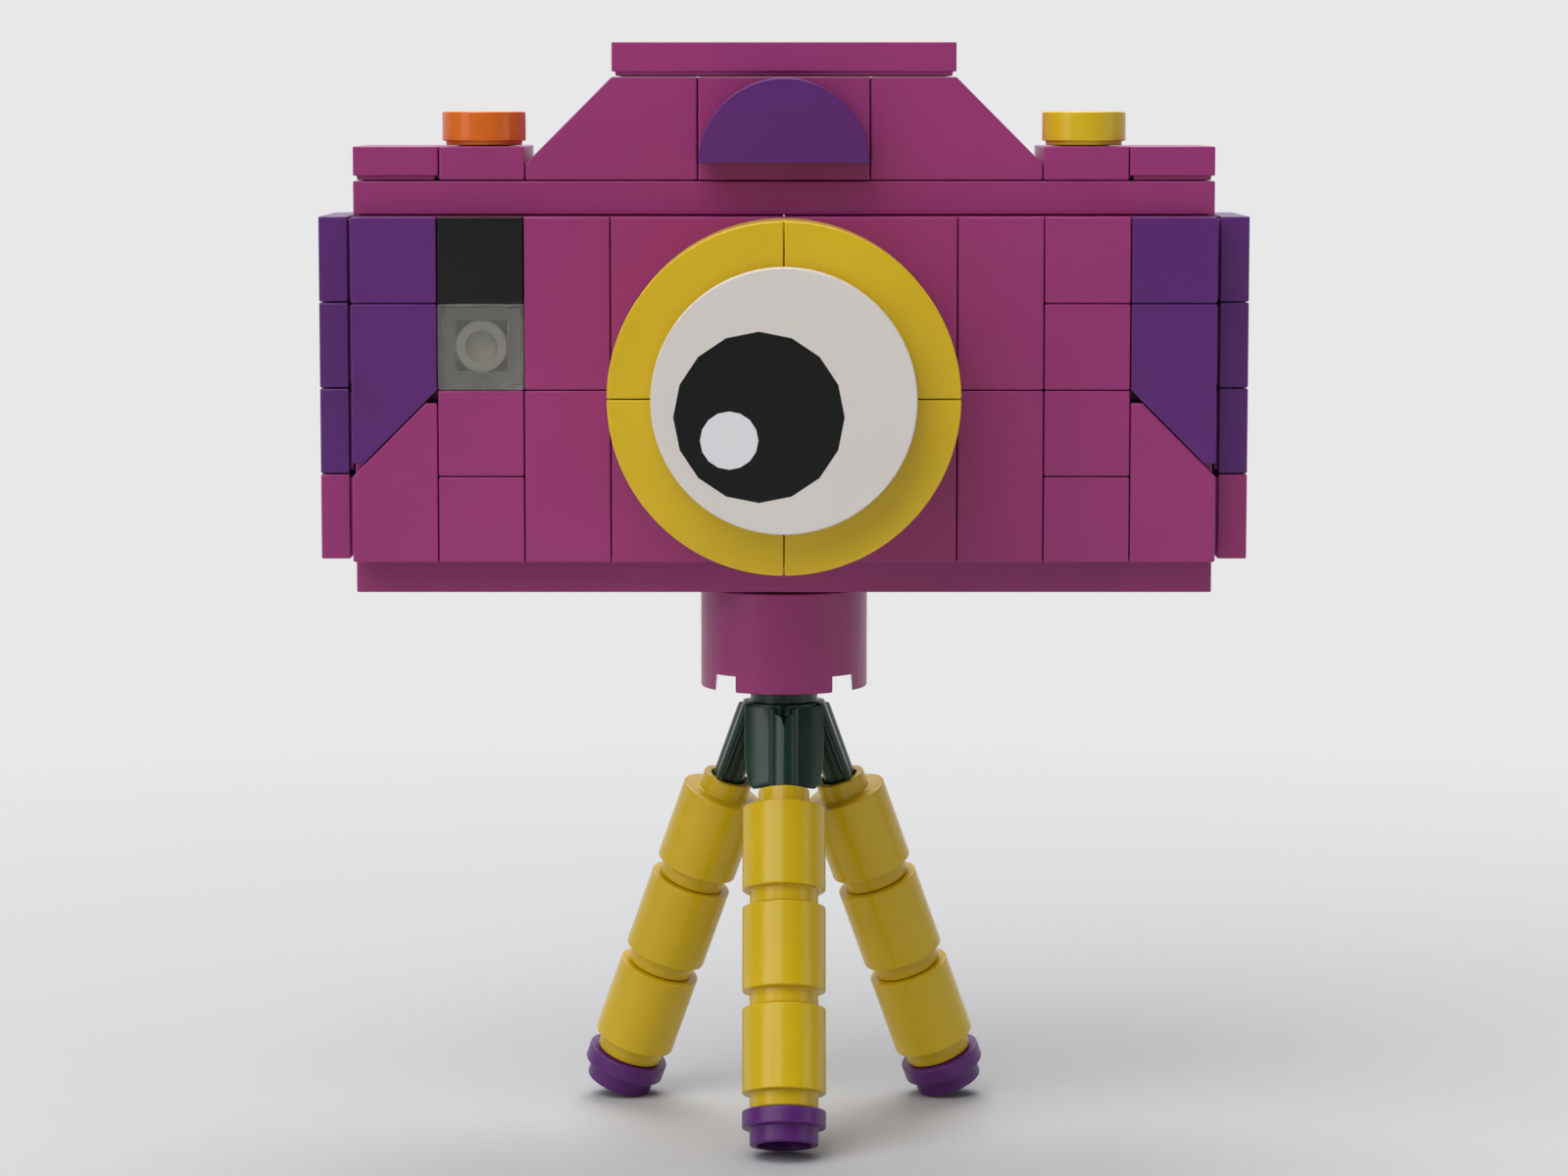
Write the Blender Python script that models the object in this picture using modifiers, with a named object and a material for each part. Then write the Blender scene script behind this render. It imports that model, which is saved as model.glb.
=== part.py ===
"""Toy camera built from interlocking blocks, on a small three-legged stand.

Sizes are in millimetres and are scaled to metres when a mesh is made. Every piece is drawn in its own
frame with its studs pointing up, then turned and set in place. The body's own frame has x to the right,
y away from the front tiles and z up from their lower edge.
"""

import math

import bmesh
import bpy
from mathutils import Euler, Matrix, Vector

MM = 0.001

# The block system
PITCH = 8.0
PLATE = 3.2
BRICK = 9.6
STUD_R = 2.4
STUD_H = 1.7
PLAY = 0.1
SEAT = 0.1
WALL = 1.4
SOCKET = 1.9
GROOVE_H = 0.5
GROOVE_IN = 0.35
CUT_TIP = 1.2 - PITCH
TUBE_R = 3.1
SINK = 0.4
STUD_SIDES = 8
ROUND_SIDES = 16
LENS_SIDES = 32
HUB_SIDES = 30

# The body
COLUMNS = 10
ROWS = 4
HALF_WIDTH = COLUMNS * PITCH / 2
FIELD_H = ROWS * PITCH
DEPTH = 2 * PITCH
CORE_FRONT = PLATE
CORE_MID = CORE_FRONT + DEPTH / 2
DECK_Z = FIELD_H + PLATE
HUMP_Z = DECK_Z + BRICK
BUTTON_X = 3.5 * PITCH
FRONT_STUD_Y = CORE_FRONT + PITCH / 2
LENS_Z = FIELD_H / 2
SEAM = 0.2

# The stand
NECK_R = 8.0
NECK_BASE = -PLATE - BRICK
HUB_TOP = -14.3
LEG_TILT = math.radians(22.0)
LEG_REACH = 8.3
LEG_Z = -27.4
LEG_TURNS = {"front": 0.0, "left": -120.0, "right": 120.0}
BODY_H = 8.0
LIP_H = 1.6
LIP_R = 3.2
NOTCH_IN = 4.56
NOTCH_OUT = 6.45
NOTCH_H = 1.55
BAR_R = 1.5
BAR_END = 1.5
BLADE_TOP = HUB_TOP - 0.3
BLADE_LOW = 6.0
BLADE_HIGH = 16.0
BLADE_OUT = 0.6
FOOT_END = BODY_H / 2 + 2 * BRICK + LIP_H + PLATE

# The lowest rim of the feet, and the middle between the lens and the rear feet, give the object's origin
FLOOR_Z = LEG_Z - FOOT_END * math.cos(LEG_TILT) - LIP_R * math.sin(LEG_TILT)
LENS_FRONT = -BRICK - 2 * PLATE
FOOT_REACH = LEG_REACH + (FOOT_END - LIP_H) * math.sin(LEG_TILT)
FOOT_BACK = CORE_MID + FOOT_REACH / 2 + (PITCH / 2 - PLAY) * math.cos(math.asin(math.sin(LEG_TILT) / 2))
MIDDLE_Y = (LENS_FRONT + FOOT_BACK) / 2

# Colours, as seen, and roughness
COLOURS = {
    "magenta": ((0.60, 0.23, 0.46), 0.30),
    "purple": ((0.36, 0.17, 0.45), 0.30),
    "yellow": ((0.85, 0.69, 0.16), 0.30),
    "orange": ((0.86, 0.41, 0.13), 0.30),
    "white": ((0.90, 0.89, 0.87), 0.25),
    "black": ((0.09, 0.09, 0.10), 0.25),
    "clear": ((0.80, 0.82, 0.84), 0.10),
    "green": ((0.09, 0.20, 0.16), 0.30),
}


# Scene and materials

def clear_scene():
    for item in list(bpy.data.objects):
        bpy.data.objects.remove(item, do_unlink=True)


def make_collection(name):
    group = bpy.data.collections.new(name)
    bpy.context.scene.collection.children.link(group)
    return group


def linear(value):
    if value <= 0.04045:
        return value / 12.92
    return ((value + 0.055) / 1.055) ** 2.4


def make_material(name, seen, roughness):
    material = bpy.data.materials.new(name)
    material.use_nodes = True
    shader = material.node_tree.nodes["Principled BSDF"]
    shader.inputs["Base Color"].default_value = [linear(v) for v in seen] + [1.0]
    shader.inputs["Roughness"].default_value = roughness
    shader.inputs["Metallic"].default_value = 0.0
    if name == "clear":
        shader.inputs["Transmission Weight"].default_value = 0.9
    return material


clear_scene()
PARTS = make_collection("building_block_camera")
CUTTERS = make_collection("building_block_camera_cutters")
MATERIALS = {name: make_material(name, *look) for name, look in COLOURS.items()}


# Flat outlines, each a mesh holding one face at z = 0

def rect_outline(width, depth):
    bm = bmesh.new()
    bmesh.ops.create_grid(bm, x_segments=1, y_segments=1, size=0.5)
    bmesh.ops.scale(bm, vec=(width, depth, 1.0), verts=bm.verts)
    return bm


def disc_outline(radius, sides):
    bm = bmesh.new()
    bmesh.ops.create_circle(bm, cap_ends=True, radius=radius, segments=sides)
    return bm


def trim(bm, point, outward):
    geom = bm.verts[:] + bm.edges[:] + bm.faces[:]
    bmesh.ops.bisect_plane(bm, geom=geom, plane_co=point, plane_no=outward, clear_outer=True, dist=1e-6)
    return bm


def trim_closed(bm, point, outward):
    """Cuts a closed body off at a plane and closes the cut."""
    trim(bm, point, outward)
    bmesh.ops.holes_fill(bm, edges=[e for e in bm.edges if e.is_boundary], sides=0)
    return bm


# Growing a flat outline into a solid

def push(bm, face, height, keep=False):
    grown = bmesh.ops.extrude_face_region(bm, geom=[face], use_keep_orig=keep)["geom"]
    moved = [item for item in grown if isinstance(item, bmesh.types.BMVert)]
    bmesh.ops.translate(bm, vec=(0.0, 0.0, height), verts=moved)
    if not keep:
        bmesh.ops.delete(bm, geom=[face], context="FACES_ONLY")
    return next(item for item in grown if isinstance(item, bmesh.types.BMFace))


def inset(bm, face, width):
    bmesh.ops.inset_region(bm, faces=[face], thickness=width, use_even_offset=True)
    return face


def only_face(bm):
    bm.faces.ensure_lookup_table()
    return bm.faces[0]


def grow_tile(bm, socket=True):
    """A tile: smooth top at z = 0, a groove round its foot and, if wanted, an even socket underneath."""
    low = push(bm, only_face(bm), -(PLATE - GROOVE_H), keep=True)
    inset(bm, low, GROOVE_IN)
    low = push(bm, low, -(GROOVE_H - SEAT))
    if socket:
        inset(bm, low, WALL - GROOVE_IN)
        push(bm, low, SOCKET)
    return bm


def grow_block(bm, height, hollow):
    """A block from its top at z = 0 down, with an open hollow underneath."""
    low = push(bm, only_face(bm), -(height - SEAT), keep=True)
    if hollow:
        inset(bm, low, WALL)
        push(bm, low, hollow)
    return bm


def grow_prism(bm, height):
    push(bm, only_face(bm), height, keep=True)
    return bm


def add_prism(bm, outline, height, matrix):
    """Adds a closed prism to a mesh that already holds other closed bodies."""
    grow_prism(outline, height)
    bmesh.ops.transform(outline, matrix=matrix, verts=outline.verts)
    return join(bm, outline)


def join(bm, other):
    scratch = bpy.data.meshes.new("scratch")
    other.to_mesh(scratch)
    other.free()
    bm.from_mesh(scratch)
    bpy.data.meshes.remove(scratch)
    return bm


def to_mesh(bm, name):
    bmesh.ops.recalc_face_normals(bm, faces=bm.faces)
    bmesh.ops.scale(bm, vec=(MM, MM, MM), verts=bm.verts)
    mesh = bpy.data.meshes.new(name)
    bm.to_mesh(mesh)
    bm.free()
    mesh.shade_smooth()
    mesh.set_sharp_from_angle(angle=math.radians(30.0))
    return mesh


# Objects

def world_point(x, y, z):
    return Vector((x, y - MIDDLE_Y, z - FLOOR_Z)) * MM


def add_empty(name, point, turn):
    empty = bpy.data.objects.new(name, None)
    empty.empty_display_size = 0.01
    empty.location = point
    empty.rotation_euler = turn
    PARTS.objects.link(empty)
    return empty


def add_part(name, mesh, colour, point, turn=(0.0, 0.0, 0.0), parent=None):
    part = bpy.data.objects.new(name, mesh)
    if not mesh.materials:
        mesh.materials.append(MATERIALS[colour])
    part.material_slots[0].link = "OBJECT"
    part.material_slots[0].material = MATERIALS[colour]
    part.parent = parent
    part.location = point
    part.rotation_euler = turn
    PARTS.objects.link(part)
    return part


def add_tool(name, mesh, part):
    tool = bpy.data.objects.new(name, mesh)
    tool.parent = part
    tool.hide_render = True
    tool.display_type = "WIRE"
    CUTTERS.objects.link(tool)
    return tool


def combine(part, mesh, operation, label):
    modifier = part.modifiers.new(label, "BOOLEAN")
    modifier.operation = operation
    modifier.solver = "EXACT"
    modifier.object = add_tool(part.name + "_" + label, mesh, part)


def profile_mesh(name, profile):
    """A closed profile of (radius, height) points, listed down its outer side."""
    count = len(profile)
    on_axis = profile[0][0] == 0.0
    edges = [(i, i + 1) for i in range(count - 1)]
    if not on_axis:
        edges.append((count - 1, 0))
    mesh = bpy.data.meshes.new(name)
    mesh.from_pydata([(r * MM, 0.0, z * MM) for r, z in profile], edges, [])
    return mesh


def add_turned(name, profile, sides, colour, point, turn=(0.0, 0.0, 0.0), parent=None):
    """A turned part: its profile spun about z."""
    part = add_part(name, profile_mesh(name, profile), colour, point, turn, parent)
    spin_profile(part, sides)
    return part


def spin_profile(item, steps):
    screw = item.modifiers.new("spin", "SCREW")
    screw.axis = "Z"
    screw.angle = math.tau
    screw.steps = steps
    screw.render_steps = steps
    screw.use_merge_vertices = True
    screw.merge_threshold = 0.00001
    screw.use_smooth_shade = False


# Studs and tubes as one mesh of many closed bodies

def stud_bodies(points, matrix=Matrix(), sides=STUD_SIDES):
    bm = bmesh.new()
    for x, y in points:
        place = matrix @ Matrix.Translation((x, y, -SINK))
        add_prism(bm, disc_outline(STUD_R, sides), STUD_H + SINK, place)
    return bm


def stud_grid(nx, ny):
    return [((i - (nx - 1) / 2) * PITCH, (j - (ny - 1) / 2) * PITCH) for i in range(nx) for j in range(ny)]


def tube_bodies(points, outer, inner, roof, height, sides):
    """Round tubes hanging down from the roof of a hollow, each with a blind bore."""
    bm = bmesh.new()
    for x, y in points:
        tube = disc_outline(outer, sides)
        low = push(tube, only_face(tube), -height - SINK, keep=True)
        inset(tube, low, (outer - inner) * math.cos(math.pi / sides))
        push(tube, low, height - PLAY)
        bmesh.ops.translate(tube, vec=(x, y, roof + SINK), verts=tube.verts)
        join(bm, tube)
    return bm


# Turns that point a piece's studs to the front, to the flanks or along a leg

FACE_FRONT = (math.pi / 2, 0.0, 0.0)
FACE_RIGHT = (0.0, math.pi / 2, 0.0)
FACE_LEFT = (0.0, -math.pi / 2, 0.0)
UPRIGHT = (0.0, 0.0, 0.0)


# The core with its front panel, side studs and brick courses

def build_core(pivot):
    width = 2 * HALF_WIDTH - 2 * PLAY
    deep = DEPTH - 2 * PLAY
    bm = grow_block(rect_outline(width, deep), FIELD_H, FIELD_H - PLATE)
    core = add_part("core_frame", to_mesh(bm, "core_frame"), "magenta",
                    world_point(0.0, CORE_MID, FIELD_H) - pivot.location, UPRIGHT, pivot)

    # The square panel behind the lens, flush with the front tiles
    panel_size = 4 * PITCH - 2 * PLAY
    to_front = Matrix.Translation((0.0, -deep / 2, -FIELD_H / 2)) @ Euler(FACE_FRONT).to_matrix().to_4x4()
    panel = rect_outline(panel_size, panel_size)
    grow_prism(panel, PLATE + PLAY + SINK)
    bmesh.ops.transform(panel, matrix=to_front @ Matrix.Translation((0, 0, -SINK)), verts=panel.verts)
    combine(core, to_mesh(panel, "core_panel"), "UNION", "panel")

    # Studs for the front tiles, the flank tiles, the top plate and the lens
    half = HALF_WIDTH - PLAY
    under_cut = (4.5 * PITCH, -PITCH / 2)
    seats = [(x, y) for x, y in stud_grid(COLUMNS, ROWS) if abs(x) > 2 * PITCH and (abs(x), y) != under_cut]
    studs = stud_bodies(seats, to_front)
    lens_seat = to_front @ Matrix.Translation((0.0, 0.0, PLATE + PLAY))
    join(studs, stud_bodies(stud_grid(2, 2), lens_seat))
    join(studs, stud_bodies(stud_grid(COLUMNS, 2)))
    for side, turn in ((1, FACE_RIGHT), (-1, FACE_LEFT)):
        to_side = Matrix.Translation((side * half, 0.0, -FIELD_H / 2)) @ Euler(turn).to_matrix().to_4x4()
        join(studs, stud_bodies(stud_grid(ROWS, 2), to_side))
    combine(core, to_mesh(studs, "core_studs"), "UNION", "studs")

    # Joints between the brick courses, seen on the back
    levels = bmesh.new()
    for course in (1, 2, 3):
        add_seam(levels, 0.0, course * BRICK, 2 * HALF_WIDTH + PITCH, SEAM)
    combine(core, to_mesh(levels, "core_levels"), "DIFFERENCE", "levels")
    ends = bmesh.new()
    for course, joints in ((0.5, (-1, 1)), (1.5, (-3, 0, 3)), (2.5, (-1, 1))):
        for step in joints:
            add_seam(ends, step * PITCH, course * BRICK, SEAM, BRICK)

    # The open stud behind the flash tile
    mouth = to_front @ Matrix.Translation((-3.5 * PITCH, PITCH / 2, STUD_H - 1.2))
    add_prism(ends, disc_outline(1.5, STUD_SIDES), 2.0, mouth)
    combine(core, to_mesh(ends, "core_ends"), "DIFFERENCE", "ends")


def add_seam(bm, x, z, width, height):
    depth = 2 * SEAM
    box = rect_outline(width, depth)
    middle = Vector((x, DEPTH / 2 - PLAY, z - FIELD_H - height / 2))
    add_prism(bm, box, height, Matrix.Translation(middle))


def build_plates(pivot):
    width = 2 * HALF_WIDTH - 2 * PLAY
    deep = DEPTH - 2 * PLAY
    tops = stud_grid(COLUMNS, 2)
    for name, level in (("bottom_plate", 0.0), ("top_plate", DECK_Z)):
        bm = grow_block(rect_outline(width, deep), PLATE, SOCKET)
        plate = add_part(name, to_mesh(bm, name), "magenta",
                         world_point(0.0, CORE_MID, level) - pivot.location, UPRIGHT, pivot)
        combine(plate, to_mesh(stud_bodies(tops), name + "_studs"), "UNION", "studs")
        if name == "bottom_plate":
            between = [(i * PITCH, 0.0) for i in range(1 - COLUMNS // 2, COLUMNS // 2)]
            roof = SEAT - PLATE + SOCKET
            tubes = tube_bodies(between, TUBE_R, STUD_R, roof, SOCKET, STUD_SIDES)
            combine(plate, to_mesh(tubes, name + "_tubes"), "UNION", "tubes")


# Tiles

def tile_mesh(name, columns, rows):
    return to_mesh(grow_tile(rect_outline(columns * PITCH - 2 * PLAY, rows * PITCH - 2 * PLAY)), name)


def cut_outline(side, margin, tip):
    """A 1 x 2 tile's outline drawn in by a margin, its lower end cut at 45 degrees and blunted at a tip."""
    bm = rect_outline(PITCH - 2 * margin, 2 * PITCH - 2 * margin)
    slope = Vector((side, -1.0, 0.0)).normalized()
    corner = Vector((side * PITCH / 2, 0.0, 0.0))
    trim(bm, corner - slope * margin, slope)
    trim(bm, Vector((0.0, tip, 0.0)), Vector((0.0, -1.0, 0.0)))
    return bm


def cut_tile_mesh(name, side):
    """The cut tile without its socket; side is +1 with the long edge at -x."""
    return to_mesh(grow_tile(cut_outline(side, PLAY, CUT_TIP), socket=False), name)


def cut_tile_socket(name, side):
    socket = grow_prism(cut_outline(side, WALL, CUT_TIP + WALL), SOCKET + SINK)
    bmesh.ops.translate(socket, vec=(0.0, 0.0, SEAT - PLATE - SINK), verts=socket.verts)
    return to_mesh(socket, name)


def build_front_tiles(pivot):
    square = tile_mesh("tile_1x1", 1, 1)
    upright = tile_mesh("tile_1x2_upright", 1, 2)
    cuts = {side: cut_tile_mesh("tile_cut", -side) for side in (-1, 1)}
    sockets = {side: cut_tile_socket("tile_cut_socket", -side) for side in (-1, 1)}

    def set_tile(name, mesh, colour, column, row, turn=FACE_FRONT):
        """Columns count from the left and rows from the top, at the tile's middle."""
        x = (column - (COLUMNS + 1) / 2) * PITCH
        z = (ROWS - row + 0.5) * PITCH
        return add_part(name, mesh, colour, world_point(x, 0.0, z) - pivot.location, turn, pivot)

    upside = (math.pi / 2, math.pi, 0.0)
    for side, word, column in ((-1, "left", 1), (1, "right", COLUMNS)):
        set_tile("tile_corner_" + word, square, "purple", column, 1)
        upper = set_tile("tile_cut_upper_" + word, cuts[side], "purple", column, 2.5)
        lower = set_tile("tile_cut_lower_" + word, cuts[side], "magenta", column, 3.5, upside)
        for tile in (upper, lower):
            combine(tile, sockets[side], "DIFFERENCE", "socket")
        inner = 3 if side < 0 else COLUMNS - 2
        set_tile("tile_inner_" + word + "_upper", upright, "magenta", inner, 1.5)
        set_tile("tile_inner_" + word + "_lower", upright, "magenta", inner, 3.5)
    set_tile("window_tile", square, "black", 2, 1)
    set_tile("flash_tile", square, "clear", 2, 2)
    for row in (3, 4):
        set_tile("tile_left_%d" % row, square, "magenta", 2, row)
    for row in (1, 2, 3, 4):
        set_tile("tile_right_%d" % row, square, "magenta", COLUMNS - 1, row)


def build_flank_tiles(pivot):
    mesh = tile_mesh("tile_flank", 1, 2)
    for side, word, turn in ((-1, "left", FACE_LEFT), (1, "right", FACE_RIGHT)):
        for row in range(1, ROWS + 1):
            colour = "magenta" if row == ROWS else "purple"
            point = world_point(side * (HALF_WIDTH + PLATE), CORE_MID, (ROWS - row + 0.5) * PITCH)
            add_part("flank_%s_%d" % (word, row), mesh, colour, point - pivot.location, turn, pivot)


# The deck, the hump and the two round tiles

ROUND_TILE = [(0.0, 0.0), (PITCH / 2 - PLAY, 0.0), (PITCH / 2 - PLAY, GROOVE_H - PLATE),
              (PITCH / 2 - PLAY - GROOVE_IN, GROOVE_H - PLATE), (PITCH / 2 - PLAY - GROOVE_IN, SEAT - PLATE),
              (STUD_R + PLAY, SEAT - PLATE), (STUD_R + PLAY, SEAT - PLATE + SOCKET),
              (0.0, SEAT - PLATE + SOCKET)]


def build_deck(pivot):
    end_tile = tile_mesh("tile_deck", 1, 2)
    for side, word, control, colour in ((-1, "left", "shutter_button", "orange"),
                                        (1, "right", "mode_dial", "yellow")):
        add_part("deck_tile_" + word, end_tile, "magenta",
                 world_point(side * 4.5 * PITCH, CORE_MID, DECK_Z + PLATE) - pivot.location, UPRIGHT, pivot)
        name = "deck_plate_" + word
        bm = grow_block(rect_outline(PITCH - 2 * PLAY, DEPTH - 2 * PLAY), PLATE, SOCKET)
        plate = add_part(name, to_mesh(bm, name), "magenta",
                         world_point(side * BUTTON_X, CORE_MID, DECK_Z + PLATE) - pivot.location, UPRIGHT, pivot)
        studs = stud_bodies(stud_grid(1, 2), sides=ROUND_SIDES)
        combine(plate, to_mesh(studs, name + "_studs"), "UNION", "studs")
        top = world_point(side * BUTTON_X, FRONT_STUD_Y, DECK_Z + 2 * PLATE)
        add_turned(control, ROUND_TILE, LENS_SIDES, colour, top - pivot.location, UPRIGHT, pivot)


def build_hump(pivot):
    deep = DEPTH - 2 * PLAY
    for side, word in ((-1, "left"), (1, "right")):
        name = "slope_" + word
        bm = grow_block(rect_outline(2 * PITCH - 2 * PLAY, deep), BRICK, SOCKET)
        outer = side * (PITCH - PLAY)
        slope = Vector((side, 0.0, 1.0)).normalized()
        edge = Vector((outer, 0.0, LIP_H - BRICK))
        trim_closed(bm, edge, slope)
        brick = add_part(name, to_mesh(bm, name), "magenta",
                         world_point(side * 2 * PITCH, CORE_MID, HUMP_Z) - pivot.location, UPRIGHT, pivot)
        flat = [(-side * PITCH / 2, y) for x, y in stud_grid(1, 2)]
        combine(brick, to_mesh(stud_bodies(flat), name + "_studs"), "UNION", "studs")

    bm = grow_block(rect_outline(2 * PITCH - 2 * PLAY, deep), BRICK, BRICK - 2 * SOCKET)
    brick = add_part("hump_brick", to_mesh(bm, "hump_brick"), "magenta",
                     world_point(0.0, CORE_MID, HUMP_Z) - pivot.location, UPRIGHT, pivot)
    studs = stud_bodies(stud_grid(2, 2))
    to_front = Matrix.Translation((0.0, -deep / 2, -PITCH / 2)) @ Euler(FACE_FRONT).to_matrix().to_4x4()
    join(studs, stud_bodies([(0.0, 0.0)], to_front))
    combine(brick, to_mesh(studs, "hump_brick_studs"), "UNION", "studs")

    # Half-round hood tile, flat side down, its top level with the hump
    bm = disc_outline(PITCH - PLAY, LENS_SIDES)
    trim(bm, Vector((0.0, PLAY, 0.0)), Vector((0.0, -1.0, 0.0)))
    add_part("hood_tile", to_mesh(grow_tile(bm), "hood_tile"), "purple",
             world_point(0.0, 0.0, HUMP_Z - PITCH) - pivot.location, FACE_FRONT, pivot)

    add_part("hump_tile", tile_mesh("hump_tile", 4, 2), "magenta",
             world_point(0.0, CORE_MID, HUMP_Z + PLATE) - pivot.location, UPRIGHT, pivot)


# The lens: drum, quarter ring tiles and eye disc

def build_lens(pivot):
    outer = 2 * PITCH - PLAY
    boss = PITCH - PLAY
    recess = 9.4
    drum = [(0.0, PLATE), (boss, PLATE), (boss, 0.0), (outer, 0.0), (outer, SEAT - BRICK),
            (recess, SEAT - BRICK), (recess, SEAT - BRICK + SOCKET), (0.0, SEAT - BRICK + SOCKET)]
    barrel = add_turned("lens_barrel", drum, LENS_SIDES, "yellow",
                        world_point(0.0, -BRICK, LENS_Z) - pivot.location, FACE_FRONT, pivot)
    ring_studs = [(x, y) for x, y in stud_grid(4, 4) if abs(abs(x) - abs(y)) > 1.0]
    studs = stud_bodies(ring_studs)
    centre = Matrix.Translation((0.0, 0.0, PLATE))
    join(studs, stud_bodies([(0.0, 0.0)], centre, ROUND_SIDES))
    combine(barrel, to_mesh(studs, "lens_barrel_studs"), "UNION", "studs")

    for index in range(4):
        name = "ring_tile_%d" % (index + 1)
        quarter = quarter_ring(PITCH + PLAY, outer, LENS_SIDES // 4)
        ring = add_part(name, to_mesh(quarter, name), "yellow",
                        world_point(0.0, -BRICK - PLATE, LENS_Z) - pivot.location,
                        (math.pi / 2, index * math.pi / 2, 0.0), pivot)
        channel = quarter_channel(LENS_SIDES // 4)
        combine(ring, to_mesh(channel, name + "_socket"), "DIFFERENCE", "socket")

    eye = [(0.0, 0.0), (1.5 * PITCH - PLAY, 0.0), (1.5 * PITCH - PLAY, GROOVE_H - PLATE),
           (1.5 * PITCH - PLAY - GROOVE_IN, GROOVE_H - PLATE), (1.5 * PITCH - PLAY - GROOVE_IN, SEAT - PLATE),
           (1.5 * PITCH - WALL, SEAT - PLATE), (1.5 * PITCH - WALL, SEAT - PLATE + SOCKET),
           (TUBE_R + GROOVE_IN, SEAT - PLATE + SOCKET), (TUBE_R + GROOVE_IN, SEAT - PLATE),
           (STUD_R + PLAY, SEAT - PLATE), (STUD_R + PLAY, SEAT - PLATE + SOCKET), (0.0, SEAT - PLATE + SOCKET)]
    add_turned("eye_disc", eye, LENS_SIDES, "white", world_point(0.0, LENS_FRONT, LENS_Z) - pivot.location,
               FACE_FRONT, pivot)


def spun_quarter(profile, first, sweep, steps):
    """A closed profile in the xz plane swept about z from one angle through another."""
    bm = bmesh.new()
    corners = [bm.verts.new((r, 0.0, z)) for r, z in profile]
    face = bm.faces.new(corners)
    bmesh.ops.rotate(bm, cent=(0, 0, 0), matrix=Matrix.Rotation(first, 3, "Z"), verts=bm.verts)
    bmesh.ops.spin(bm, geom=[face] + face.edges[:] + face.verts[:], cent=(0, 0, 0), axis=(0, 0, 1),
                   angle=sweep, steps=steps, use_duplicate=False)
    return bm


def quarter_ring(inner, outer, steps):
    """A quarter of a ring, square ended, with its top at z = 0 and a groove round its foot."""
    profile = [(inner, 0.0), (outer, 0.0), (outer, GROOVE_H - PLATE), (outer - GROOVE_IN, GROOVE_H - PLATE),
               (outer - GROOVE_IN, SEAT - PLATE), (inner, SEAT - PLATE)]
    bm = spun_quarter(profile, 0.0, math.pi / 2, steps)
    for axis in (Vector((1, 0, 0)), Vector((0, 1, 0))):
        trim_closed(bm, axis * PLAY, -axis)
    return bm


def quarter_channel(steps):
    """The socket under a quarter ring, wide enough for its two studs."""
    inner, outer = 9.9, 15.1
    margin = math.radians(6.5)
    base = SEAT - PLATE - SINK
    profile = [(inner, base + SINK + SOCKET), (outer, base + SINK + SOCKET), (outer, base), (inner, base)]
    return spun_quarter(profile, margin, math.pi / 2 - 2 * margin, steps)


# The neck, the hub, the legs and the feet

def build_neck(pivot):
    top = -PLATE - SEAT
    outer = NECK_R - PLAY
    profile = [(0.0, top), (outer, top), (outer, NECK_BASE), (outer - WALL, NECK_BASE),
               (outer - WALL, top - LIP_H), (LIP_R, top - LIP_H), (LIP_R, NECK_BASE), (STUD_R + PLAY, NECK_BASE),
               (STUD_R + PLAY, top - LIP_H), (0.0, top - LIP_H)]
    neck = add_turned("neck", profile, LENS_SIDES, "magenta", world_point(0.0, CORE_MID, 0.0) - pivot.location,
                      UPRIGHT, pivot)
    lift = Matrix.Translation((0.0, 0.0, top))
    combine(neck, to_mesh(stud_bodies(stud_grid(2, 2), lift), "neck_studs"), "UNION", "studs")

    # Two pairs of straight slots across the lower rim leave a notch at each corner of the grid
    for label, quarter in (("across", 0.0), ("along", math.pi / 2)):
        slots = bmesh.new()
        for side in (-1, 1):
            middle = Vector((0.0, side * (NOTCH_IN + NOTCH_OUT) / 2, NECK_BASE - SINK))
            place = Matrix.Rotation(quarter, 4, "Z") @ Matrix.Translation(middle)
            add_prism(slots, rect_outline(2 * NECK_R, NOTCH_OUT - NOTCH_IN), NOTCH_H + SINK, place)
        combine(neck, to_mesh(slots, "neck_slots_" + label), "DIFFERENCE", "slots_" + label)


def leg_matrix(degrees):
    """A leg's own frame: z up along the leg, y inward, origin at the middle of its first brick."""
    spoke = Matrix.Rotation(math.radians(degrees), 4, "Z")
    lean = Matrix.Translation((0.0, -LEG_REACH, LEG_Z)) @ Matrix.Rotation(-LEG_TILT, 4, "X")
    return spoke @ lean


def leaf_blade(half_width):
    """A bowed leaf blade of even thickness in a leg's frame, drawn in and blunted at its lower end."""
    bow, thick, steps = 6.0, 0.7, 10
    reach = math.asin(half_width / bow)
    profile = [(bow - thick, BLADE_HIGH), (bow, BLADE_HIGH), (bow, BLADE_LOW), (bow - thick, BLADE_LOW)]
    bm = spun_quarter(profile, -math.pi / 2 - reach, 2 * reach, steps)
    bmesh.ops.translate(bm, vec=(0.0, bow - BLADE_OUT, 0.0), verts=bm.verts)
    for side in (-1, 1):
        for width, height, slant in ((3.72, 9.0, 0.06), (3.45, 6.5, 0.12), (2.95, BLADE_LOW, 1.0)):
            trim_closed(bm, Vector((side * width, 0.0, height)), Vector((side, 0.0, -slant)).normalized())
    return bm


def cut_top(bm, degrees, fall):
    """Sets a body drawn in a leg's frame in place and cuts its top under the hub's disc, falling outward."""
    bmesh.ops.transform(bm, matrix=leg_matrix(degrees), verts=bm.verts)
    spoke = Matrix.Rotation(math.radians(degrees), 3, "Z")
    rim = spoke @ Vector((0.0, PLAY - PITCH / 2, BLADE_TOP))
    return trim_closed(bm, rim, spoke @ Vector((0.0, -fall, 1.0)).normalized())


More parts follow.
